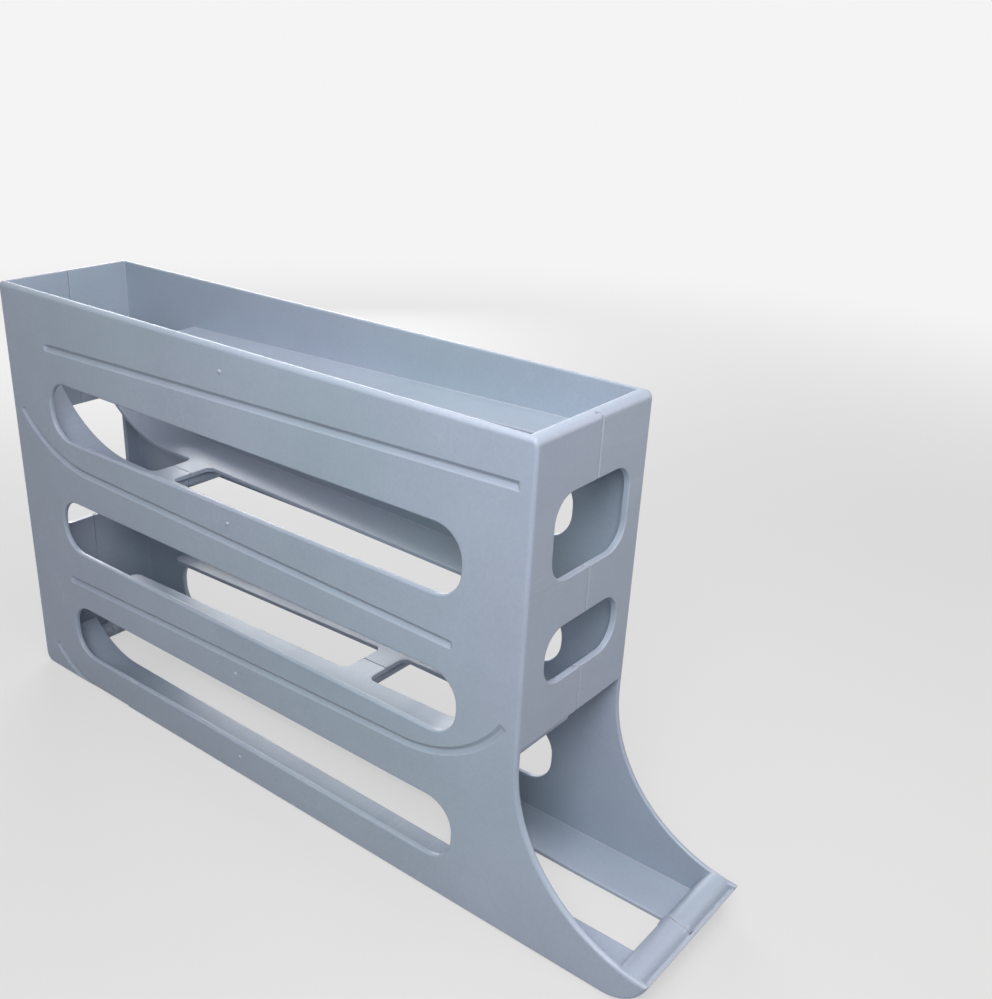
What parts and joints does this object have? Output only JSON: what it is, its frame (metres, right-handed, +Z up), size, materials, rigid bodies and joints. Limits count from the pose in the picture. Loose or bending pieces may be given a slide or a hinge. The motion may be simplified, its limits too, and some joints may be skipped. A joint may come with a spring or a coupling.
{
  "type": "rolling egg dispenser",
  "caption": "Narrow free-standing keeper with sloping tracks that roll eggs down to a scoop in front, moulded in halves that plug together.",
  "frame": {"origin": "middle of the foot, on the surface that it stands on", "axes": "+X towards the scoop, +Y towards the right shell, +Z up"},
  "size_m": [0.36, 0.0712, 0.199],
  "materials": {
    "left_shell_plastic": "satin blue-grey moulded polypropylene",
    "right_shell_plastic": "satin blue-grey moulded polypropylene"
  },
  "bodies": {
    "left_half": {"left_shell": "left_shell_plastic"},
    "right_half": {"right_shell": "right_shell_plastic"}
  },
  "joints": [
    {"name": "halves_apart", "type": "slide", "parent": "left_half", "child": "right_half", "axis": [0, 1, 0], "range_m": [0, 0.02]}
  ]
}
